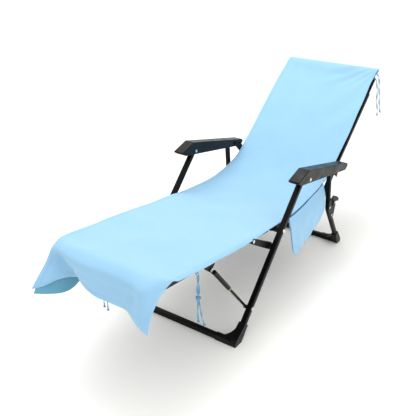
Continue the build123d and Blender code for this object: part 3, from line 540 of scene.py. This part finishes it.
# The front drop: rows of (share of the width from the far edge, X, Y, Z), from the bar down to the hem
DROP_ROWS = [
    [
        (0.00, -255, -370, 480),
        (0.05, -236, -382, 488),
        (0.10, -207, -394, 490),
        (0.30, -99, -402, 490),
        (0.58, 41, -404, 490),
        (0.78, 145, -404, 490),
        (0.94, 228, -398, 489),
        (1.00, 256, -362, 480),
    ],
    [
        (0.00, -257, -397, 464),
        (0.09, -215, -411, 476),
        (0.30, -99, -431, 474),
        (0.58, 41, -428, 474),
        (0.78, 145, -431, 474),
        (0.94, 225, -429, 472),
        (1.00, 251, -384, 468),
    ],
    [
        (0.00, -255, -437, 418),
        (0.06, -232, -413, 424),
        (0.12, -200, -394, 430),
        (0.19, -158, -411, 437),
        (0.32, -90, -429, 430),
        (0.58, 41, -428, 428),
        (0.78, 145, -432, 428),
        (0.94, 220, -446, 426),
        (1.00, 241, -416, 430),
    ],
    [
        (0.00, -256, -475, 382),
        (0.07, -224, -444, 388),
        (0.14, -185, -402, 394),
        (0.19, -158, -389, 397),
        (0.24, -128, -412, 408),
        (0.36, -60, -431, 396),
        (0.58, 41, -430, 395),
        (0.78, 145, -438, 392),
        (0.93, 208, -457, 390),
        (1.00, 241, -447, 389),
    ],
    [
        (0.00, -258, -511, 345),
        (0.07, -230, -479, 350),
        (0.14, -197, -428, 366),
        (0.19, -170, -400, 371),
        (0.23, -140, -387, 375),
        (0.28, -108, -413, 385),
        (0.36, -70, -431, 378),
        (0.45, -25, -437, 368),
        (0.56, 28, -430, 362),
        (0.67, 81, -429, 360),
        (0.76, 122, -433, 360),
        (0.87, 180, -459, 352),
        (0.94, 213, -472, 348),
        (1.00, 257, -487, 350),
    ],
]
ROW_STEP = 8.0
COLUMN_STEP = 6.5


def towel_columns():
    """Places across the towel, as shares of its width, with extra ones at both hems."""
    width = 2 * TOWEL_HALF
    rim = HEM_STEPS / width
    inner = np.linspace(rim[-1], 1 - rim[-1], round(width / COLUMN_STEP))[1:-1]
    return np.concatenate([rim, inner, (1 - rim)[::-1]])


def edge_curl(across, lift):
    """How far one edge of a row rises over a wide strip, or drops over a narrow one."""
    return lift * smooth_step(across, DROP_START if lift < 0 else RISE_START, 1.0)


def towel_surface():
    """Middle surface of the cover as a grid, with the distance along its length of each row."""
    columns = towel_columns()
    rows = []
    across = 2 * columns - 1
    for y, z, far, near, far_lift, near_lift in TOWEL_ROWS:
        curl = edge_curl(-across, far_lift) + edge_curl(across, near_lift)
        rows.append(np.stack([far + (near - far) * columns, y + 0 * across, z + curl], 1))
    for row in DROP_ROWS:
        row = np.array(row, float)
        rows.append(hermite(row[:, 0], row[:, 1:], columns))
    rows = np.array(rows)
    middle = rows[:, len(columns) // 2]
    reach = np.concatenate([[0.0], np.cumsum(np.linalg.norm(np.diff(middle, axis=0), axis=1))])
    places = np.arange(0.0, reach[-1], ROW_STEP)
    hem = reach[-1] - HEM_STEPS[::-1]
    places = np.concatenate([places[places < hem[0] - 3.0], hem])
    grid = hermite(reach, rows, places)
    drop_start = reach[len(TOWEL_ROWS) - 1]
    return columns, places, grid, reach, drop_start


def towel_relief(columns, places, reach, drop_start):
    """How far the cloth stands off its middle surface: sag between the rails and soft wrinkles."""
    x = (2 * columns - 1) * TOWEL_HALF
    across, along = np.meshgrid(x, places)
    on_bed = smooth_step(along, 190, 300)
    on_bed = on_bed * (1 - smooth_step(along, drop_start - 60, drop_start + 20))
    sag = 1 - (across / TOWEL_HALF) ** 2
    relief = -SAG_DEPTH * sag * on_bed
    # Slanting folds on the upper back, and a fan of folds that runs to the near tie
    upper = smooth_step(along, 190, 330) * (1 - smooth_step(along, 520, 760))
    slant = np.sin((along * 0.62 + across * 0.95) / 26.0)
    relief += SLANT_FOLD * upper * smooth_step(across, -60, 160) * slant
    hood = smooth_step(along, 175, 215) * (1 - smooth_step(along, 260, 380))
    fan = np.sin(np.arctan2(along - 150, 300 - across) * 26.0)
    relief += HOOD_FOLD * hood * smooth_step(across, -120, 120) * fan
    # Long and short waves all over the bed
    wander = np.sin(along / 71.0 + 0.9 * np.sin(across / 83.0))
    relief += LONG_WAVE * on_bed * wander * (0.4 + 0.6 * sag)
    ripple = np.sin(across / 37.0 + along / 140.0) * np.sin(along / 49.0 + 1.1)
    relief += SHORT_WAVE * on_bed * ripple
    for side in SIDES.values():
        spread = np.hypot((across - side * 250) / 60, (along - reach[MID_TIE_ROW] + 20) / 46)
        relief -= TIE_PUCKER * np.exp(-(spread**2)) * on_bed
    low = smooth_step(along, drop_start, drop_start + 60)
    relief += DROP_WAVE * low * np.sin(across / 31.0 + 0.6 * np.sin(along / 40.0))
    return relief


def towel_thickness(columns, places):
    """Half the cloth's thickness, more in the hems at both sides and at the foot end."""
    from_side = np.minimum(columns, 1 - columns) * 2 * TOWEL_HALF
    from_end = places[-1] - places
    side, end = np.meshgrid(from_side, from_end)
    near = np.minimum(side, end)
    hem = np.where(near <= HEM_WIDTH, HEM_EXTRA, 0.0)
    rim = np.sqrt(np.clip(near / HEM_STEPS[2], 0.12, 1.0))
    return (TOWEL_THICK + hem) / 2 * rim


def upward_normals(grid):
    """Unit normals of the cover, upwards in its middle."""
    normal = normals_of(grid)
    if normal[len(normal) // 2, normal.shape[1] // 2, 2] < 0:
        return -normal
    return normal


def build_towel():
    """Both faces of the whole cover in metres, its normals, and the rows where it is parted."""
    columns, places, grid, reach, drop_start = towel_surface()
    relief = towel_relief(columns, places, reach, drop_start)
    grid = grid + upward_normals(grid) * relief[..., None]
    normal = upward_normals(grid)
    half = towel_thickness(columns, places)[..., None]
    cuts = np.interp([SEAT_CUT_ROW, KNEE_CUT_ROW], np.arange(len(reach)), reach)
    cut_rows = [int(row) for row in np.searchsorted(places, cuts)]
    return (grid + normal * half) / 1000, (grid - normal * half) / 1000, normal, cut_rows


# Parts of the cover from the head end down: bodies, bend, CAD nodes and what each part rests on
TOWEL_PARTS = {
    "towel_back_part": (
        ("back", "seat"),
        BACK_BEND,
        ["towel_back"],
        ["head_tube", "back_sling"],
    ),
    "towel_seat_part": (
        ("seat", "front_legs"),
        SEAT_BEND,
        ["towel_seat"],
        ["seat_sling"],
    ),
    "towel_leg_part": (
        ("front_legs", "leg_rest"),
        LEG_BEND,
        ["towel_leg_rest", "towel_front_drop"],
        ["leg_rest_sling", "leg_rest_end_bar"],
    ),
}


def stitch_lines(name, upper, normal, rows, has_end):
    """Rows of stitches along the side hems of a part of the towel, and two along its end hem."""
    last_column = upper.shape[1] - 1
    last_row = len(upper) - 1
    inner = slice(SEAM_STEP, last_column + 1 - SEAM_STEP)
    seams = {
        "stitch_far": (rows, SEAM_STEP),
        "stitch_near": (rows, last_column - SEAM_STEP),
    }
    if has_end:
        seams["hem_stitch_a"] = (last_row - 3, inner)
        seams["hem_stitch_b"] = (last_row - 2, inner)
    return [
        thread_dashes(f"{name}_{label}", upper[place], normal[place], looks["hem_thread"])
        for label, place in seams.items()
    ]


def add_towel():
    upper, lower, normal, cut_rows = build_towel()
    last = len(upper) - 1
    starts = [0, *cut_rows]
    ends = [*cut_rows, last]
    for (name, part), first, end in zip(TOWEL_PARTS.items(), starts, ends):
        bodies, bend, nodes, rests_on = part
        rows = slice(first, end + 1)
        cloth = shell(name, upper[rows], lower[rows], looks["towel_cloth"])
        stitches = stitch_lines(name, upper, normal, rows, end == last)
        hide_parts(*nodes)
        for piece in (cloth, *stitches):
            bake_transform(piece)


# The part of the front drop that is turned under at the far corner: its upper and lower edge
TURNED_TOP = [
    (-259, -470, 370),
    (-233, -440, 382),
    (-203, -402, 394),
    (-184, -384, 398),
    (-166, -374, 396),
    (-150, -370, 392),
]
TURNED_LOW = [
    (-244, -513, 333),
    (-208, -485, 330),
    (-174, -455, 330),
    (-160, -431, 331),
    (-151, -411, 338),
    (-139, -388, 358),
]
TURNED_BULGE = 6.0
# The share of its height from which the turned strip is hem
TURNED_HEM = 0.7


def add_turned_corner():
    """Inner side of the cloth that shows under the hem at the far corner, in a darker blue that is
    painted shade.
    """
    share = np.linspace(0, 1, len(TURNED_TOP))
    fine = np.linspace(0, 1, 40)
    top = hermite(share, TURNED_TOP, fine)
    low = hermite(share, TURNED_LOW, fine)
    levels = np.linspace(0, 1, 14)
    grid = np.array([top + (low - top) * level for level in levels])
    bulge = TURNED_BULGE * np.sin(levels * pi)[:, None] * np.sin(fine * pi)[None, :]
    grid = grid + normals_of(grid) * bulge[..., None]
    normal = normals_of(grid)
    half = (TOWEL_THICK + HEM_EXTRA * (levels > TURNED_HEM)) / 2
    cloth = cloth_of("towel_turned_corner", grid, normal * half[:, None, None], "towel_inside_shade")
    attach(cloth, "leg_rest")


# ---------------------------------------------------------------- side pockets

# Outline of a pocket in the side view, as front and rear edges from its top down: (Y, Z)
POCKET_FRONT = [(452, 384), (458, 345), (470, 300), (490, 242), (510, 186), (528, 156)]
POCKET_REAR = [(800, 420), (812, 372), (817, 320), (818, 280), (812, 258), (800, 246)]
POCKET_DIP = [(0.0, 0.0), (0.15, 6.0), (0.55, 26.0), (0.85, 12.0), (1.0, 0.0)]
POCKET_X = 279.0
POCKET_THICK = 2.6
# How the top of the pocket moves in to the towel's edge: X, Y and Z
POCKET_TUCK = (-14.0, 16.0, -19.0)
POCKET_TUCK_END = 0.4
POCKET_GAP = 4.2
# Depths of the outer layer's curves and folds
POCKET_TOP_DIP = 9.0
POCKET_BELLY = 6.0
POCKET_FOLD = 3.2
POCKET_GROOVE = 2.4
POCKET_RIPPLE = 1.8
POCKET_GAPE = 3.0
# How far the inner layer stands in at its top, and the share of its height that rises to the seam
POCKET_STEP = 3.0
POCKET_RISE_END = 0.25
# How much lower the pocket at each side starts, because the cover lies further over at the far side
POCKET_LOWER = {"left": 0.0, "right": 26.0}
# The seat's edge that the inner layer of the pocket is sewn to: (Y, Z) from the front
POCKET_SEAM = [
    (452, 374),
    (511, 371),
    (605, 375),
    (689, 383),
    (790, 395),
    (812, 404),
    (830, 412),
]


def pocket_layer(side, lower):
    """Outer layer of a side pocket: it hangs from the seat's edge and bellies out a little."""
    levels = np.concatenate([[0.0, 0.03, 0.035], np.linspace(0.06, 1, 40)])
    across = np.linspace(0, 1, 60)
    front = hermite(np.linspace(0, 1, len(POCKET_FRONT)), POCKET_FRONT, levels)
    rear = hermite(np.linspace(0, 1, len(POCKET_REAR)), POCKET_REAR, levels)
    dip = np.array(POCKET_DIP)
    sag = hermite(dip[:, 0], dip[:, 1], across)
    grid = np.empty((len(levels), len(across), 3))
    for index, level in enumerate(levels):
        line = front[index] + (rear[index] - front[index]) * across[:, None]
        tuck = 1 - smooth_step(level, 0.0, POCKET_TUCK_END)
        top_curve = -POCKET_TOP_DIP * np.sin(across * pi) * (1 - level) ** 2
        belly = POCKET_BELLY * sin(level * pi) * np.sin(across * pi)
        fold = POCKET_FOLD * level**0.6 * np.exp(-(((across - 0.16 - 0.05 * level) / 0.07) ** 2))
        fold -= POCKET_GROOVE * level**0.6 * np.exp(-(((across - 0.29) / 0.06) ** 2))
        ripple = POCKET_RIPPLE * (0.3 + level) * np.sin(across * 17.0 + level * 6.0)
        gape = POCKET_GAPE * tuck * np.exp(-(((across - 0.25) / 0.2) ** 2))
        grid[index, :, 0] = POCKET_X + belly + ripple + fold + gape + POCKET_TUCK[0] * tuck
        grid[index, :, 1] = line[:, 0] + POCKET_TUCK[1] * tuck
        grid[index, :, 2] = line[:, 1] + top_curve - sag * level * 0.4 + POCKET_TUCK[2] * tuck
        grid[index, :, 2] -= lower * (0.35 + 0.65 * tuck)
    grid[..., 0] *= side
    return grid, levels


def pocket_grid(side, lower):
    """Both layers of a pocket, from its open top down to the fold and up again to the seam."""
    outer, levels = pocket_layer(side, lower)
    inner = outer.copy()
    inner[..., 0] -= side * POCKET_GAP * (1 - levels**6)[:, None]
    seam = np.array(POCKET_SEAM, float)
    seam_z = np.interp(outer[0, :, 1], seam[:, 0], seam[:, 1])
    rise = (1 - smooth_step(levels, 0.0, POCKET_RISE_END))[:, None]
    inner[..., 2] += (seam_z - lower * 0.9 - inner[0, :, 2])[None, :] * rise
    inner[..., 0] -= side * POCKET_STEP * (1 - smooth_step(levels, 0.0, 0.2))[:, None]
    return np.concatenate([outer, inner[-2::-1]]), len(levels)


def paint_rows(cloth, rows, columns, first):
    """Gives the second material to both faces of a shell from a row onwards."""
    for index in range((rows - 1) * (columns - 1)):
        if index // (columns - 1) >= first:
            cloth.data.polygons[2 * index].material_index = 1
            cloth.data.polygons[2 * index + 1].material_index = 1


def add_pockets():
    for name, side in SIDES.items():
        grid, outer_rows = pocket_grid(side, POCKET_LOWER[name])
        offset = normals_of(grid) * POCKET_THICK / 2
        cloth = cloth_of(f"side_pocket_{name}", grid, offset, "towel_cloth")
        # The inner layer gets the much darker blue, painted shade, so that it shows as a dark line
        # under the towel's edge
        cloth.data.materials.append(looks["pocket_lining_shade"])
        paint_rows(cloth, *grid.shape[:2], outer_rows)
        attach(cloth, "seat")
        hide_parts(f"pocket_flap_{name}")
        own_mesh(cloth)


# ---------------------------------------------------------------- slings

SLING_HALFS = {"back": 228.0, "seat": 228.0, "leg_rest": 219.0}
SLING_THICK = 2.4
SLING_HEM = 1.2
SLING_ROW_STEP = 12
# Places across half a sling's width, closer together at its hem
SLING_HEM_PLACES = np.array([0.925, 0.93, 0.998, 1.0])
SLING_INNER = 0.9
SLING_COLUMNS = 40
SLING_LINES = {
    "back": [(995.0, 424.2), (1180.0, 577.7), (1416.5, 774.4)],
    "seat": [
        (335, 374),
        (419, 353),
        (549, 330),
        (689, 322),
        (809, 340),
        (909, 382),
        (981, 427),
    ],
    "leg_rest": [(325.0, 366.0), (0.0, 411.8), (-363.0, 463.0)],
}


def sling_grid(line, columns, half_width):
    """Middle surface of a length of sling along its line in the side view."""
    line = np.array(line, float)
    reach = np.concatenate([[0.0], np.cumsum(np.linalg.norm(np.diff(line, axis=0), axis=1))])
    places = np.linspace(0, reach[-1], round(reach[-1] / SLING_ROW_STEP))
    spine = hermite(reach, line, places)
    grid = np.empty((len(places), len(columns), 3))
    grid[..., 0] = columns[None, :] * half_width
    grid[..., 1:] = spine[:, None, :]
    return grid


def add_sling(place):
    """One length of the sling, with a thicker hem along both sides; returns it with its flat size."""
    middle = np.linspace(-SLING_INNER, SLING_INNER, SLING_COLUMNS)
    columns = np.concatenate([-SLING_HEM_PLACES[::-1], middle, SLING_HEM_PLACES])
    grid = sling_grid(SLING_LINES[place], columns, SLING_HALFS[place])
    normal = normals_of(grid)
    hem = np.where(np.abs(columns) > SLING_HEM_PLACES[:2].mean(), SLING_HEM, 0.0)
    half = ((SLING_THICK + hem) / 2)[None, :, None]
    cloth = cloth_of(f"sling_{place}", grid, normal * half, "sling_mesh")
    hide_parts(f"{place}_sling")
    length = float(np.linalg.norm(np.diff(grid[:, 0], axis=0), axis=1).sum()) / 1000
    return cloth, (2 * SLING_HALFS[place] / 1000, length)


def add_slings():
    for place in SLING_LINES:
        cloth, flat = add_sling(place)
        if place == "seat":
            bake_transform(cloth)
        else:
            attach(cloth, place)


# ---------------------------------------------------------------- tie strings

STRING_DIAMETER = 0.0072
TAPE_THICK = 0.0028
TAPE_TWIST = 2.4
# A NURBS circle lies inside its control points by this share
TAPE_SWELL = 1.08
TOP_TIES = {
    "a": [
        (250, 1413, 803),
        (260, 1419, 794),
        (264, 1431, 768),
        (262, 1449, 722),
        (265, 1465, 672),
        (262, 1486, 622),
        (266, 1506, 578),
    ],
    "b": [
        (250, 1393, 785),
        (258, 1398, 776),
        (263, 1408, 748),
        (266, 1420, 700),
        (262, 1439, 652),
        (266, 1455, 606),
        (262, 1475, 568),
    ],
}
MID_TIES = {
    "left": {
        "a": [
            (250, -218, 448),
            (259, -219, 440),
            (262, -215, 418),
            (259, -219, 378),
            (262, -216, 340),
            (260, -216, 290),
            (262, -215, 244),
        ],
        "b": [
            (250, -208, 449),
            (260, -208, 441),
            (259, -210, 416),
            (263, -209, 374),
            (260, -211, 336),
            (264, -203, 290),
            (261, -192, 246),
            (264, -180, 208),
        ],
    },
    "right": {
        "a": [
            (250, -216, 450),
            (259, -217, 442),
            (262, -214, 422),
            (250, -216, 400),
            (224, -214, 378),
            (209, -212, 322),
            (205, -214, 262),
            (203, -215, 196),
            (200, -216, 122),
        ],
        "b": [
            (250, -201, 450),
            (259, -200, 442),
            (260, -203, 420),
            (246, -201, 396),
            (219, -199, 373),
            (204, -198, 312),
            (202, -199, 250),
            (199, -198, 176),
            (200, -197, 94),
        ],
    },
}


def tape_section():
    """The flat oval section of the string, never shown by itself."""
    section = bpy.data.curves.new("tape_section", "CURVE")
    section.dimensions = "2D"
    spline = section.splines.new("NURBS")
    spokes = 8
    spline.points.add(spokes - 1)
    for index, control in enumerate(spline.points):
        turn = 2 * pi * index / spokes
        x = STRING_DIAMETER / 2 * TAPE_SWELL * cos(turn)
        y = TAPE_THICK / 2 * TAPE_SWELL * sin(turn)
        control.co = (x, y, 0, 1)
    spline.order_u = 4
    spline.use_cyclic_u = True
    made = bpy.data.objects.new("tape_section", section)
    made.hide_render = True
    bpy.context.scene.collection.objects.link(made)
    return made


def string_curve(name, points, section, material):
    """A string along its route, turning about its own axis as a loosely twisted tape does."""
    curve = bpy.data.curves.new(name, "CURVE")
    curve.dimensions = "3D"
    spline = curve.splines.new("NURBS")
    spline.points.add(len(points) - 1)
    for index, (control, point) in enumerate(zip(spline.points, points)):
        control.co = (*point, 1.0)
        control.tilt = TAPE_TWIST * index
    spline.order_u = 3
    spline.use_endpoint_u = True
    spline.resolution_u = 16
    curve.bevel_mode = "OBJECT"
    curve.bevel_object = section
    curve.use_fill_caps = True
    curve.materials.append(material)
    made = bpy.data.objects.new(name, curve)
    bpy.context.scene.collection.objects.link(made)
    return made


KNOT_TURNS = 36
KNOT_SPOKES = 8
# The string's radius and the knot's, in the trefoil's own units
KNOT_STRAND = 0.95
KNOT_REACH = 3


def trefoil(t):
    """A point on the line of a trefoil knot."""
    return Vector((sin(t) + 2 * sin(2 * t), cos(t) - 2 * cos(2 * t), -sin(3 * t)))


def knot_mesh(name, centre, radius, material):
    """A small overhand knot: a trefoil of string pulled tight."""
    points, faces = [], []
    for step in range(KNOT_TURNS):
        t = 2 * pi * step / KNOT_TURNS
        spine = trefoil(t)
        run = trefoil(t + 0.01) - spine
        side = run.cross(Vector((0.3, 0.2, 1.0))).normalized()
        up = side.cross(run).normalized()
        for spoke in range(KNOT_SPOKES):
            turn = 2 * pi * spoke / KNOT_SPOKES
            offset = (side * cos(turn) + up * sin(turn)) * KNOT_STRAND
            points.append(centre + (spine + offset) * radius / KNOT_REACH)
    for step in range(KNOT_TURNS):
        here = step * KNOT_SPOKES
        there = (step + 1) % KNOT_TURNS * KNOT_SPOKES
        for spoke in range(KNOT_SPOKES):
            after = (spoke + 1) % KNOT_SPOKES
            faces.append((here + spoke, here + after, there + after, there + spoke))
    return new_mesh(name, points, faces, material, smooth=True)


# Size and drop of the knot at each string's end, in metres
END_KNOT_RADIUS = 0.0046
END_KNOT_DROP = Vector((0, 0, 0.002))
# The two near leg-rest strings are knotted together here
MID_KNOT = mm(261, -214, 342)
MID_KNOT_RADIUS = 0.0085


def add_tie(place, name, strand, points, section):
    """One hanging string with the knot at its end."""
    side = SIDES[name]
    body = "back" if place == "top" else "leg_rest"
    node = f"{place}_tie_{name}_{strand}"
    line = [mm(side * x, y, z) for x, y, z in points]
    string = string_curve(f"string_{node}", line, section, looks["tie_string"])
    end = line[-1] - END_KNOT_DROP
    knots = [knot_mesh(f"knot_{node}", end, END_KNOT_RADIUS, looks["tie_string"])]
    if (place, name, strand) == ("mid", "left", "a"):
        knot_name = f"half_hitch_{node}"
        knots.append(knot_mesh(knot_name, MID_KNOT, MID_KNOT_RADIUS, looks["tie_string"]))
    for piece in (string, *knots):
        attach(piece, body)
    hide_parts(node)


def add_ties():
    section = tape_section()
    for name in SIDES:
        for strand in ("a", "b"):
            add_tie("top", name, strand, TOP_TIES[strand], section)
            add_tie("mid", name, strand, MID_TIES[name][strand], section)


# ---------------------------------------------------------------- the whole


def paint_frame():
    """Every CAD node that stays in view gets the finish of its own slot."""
    slots = {row["node"]: row["material_slot"] for row in frame["record"]["subparts"]}
    for name, node in frame["nodes"].items():
        node.data.materials.clear()
        node.data.materials.append(looks[slots[name]])


bpy.context.scene.view_settings.view_transform = "Standard"
add_camera()
add_ties()
add_world()
for light_name in AREA_LIGHTS:
    add_area_light(light_name)
add_floor(floor_paint())
paint_frame()
add_towel()
add_turned_corner()
add_pockets()
add_slings()
